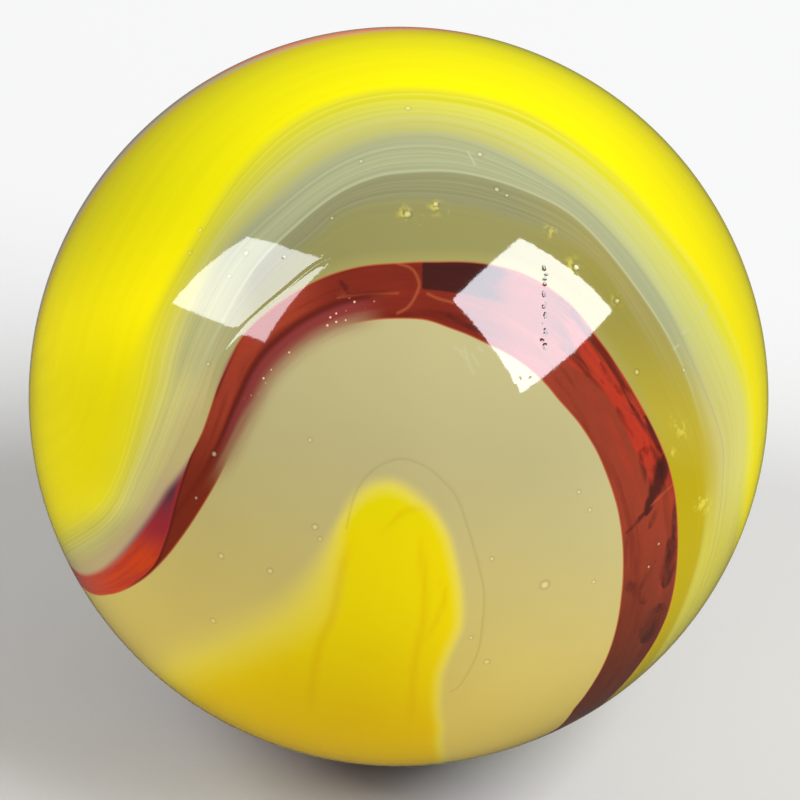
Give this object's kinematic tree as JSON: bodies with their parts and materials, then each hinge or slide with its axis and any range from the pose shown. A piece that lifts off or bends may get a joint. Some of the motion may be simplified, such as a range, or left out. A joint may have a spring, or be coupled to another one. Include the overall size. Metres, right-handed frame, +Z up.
{
  "type": "glass marble",
  "caption": "Small glass ball with a red S-shaped ribbon and a yellow swirl over cloudy cream glass, for games, rolling and bearings.",
  "frame": {"origin": "centre of the ball", "axes": "+Z up; the patterned face looks towards -Y and up, 50 degrees down from the top; -Z points to the lowest point, where the ball touches what it lies on"},
  "size_m": [0.016, 0.016, 0.016],
  "materials": {
    "swirl_glass": "gloss"
  },
  "bodies": {
    "root": {"marble": "swirl_glass"}
  },
  "joints": []
}
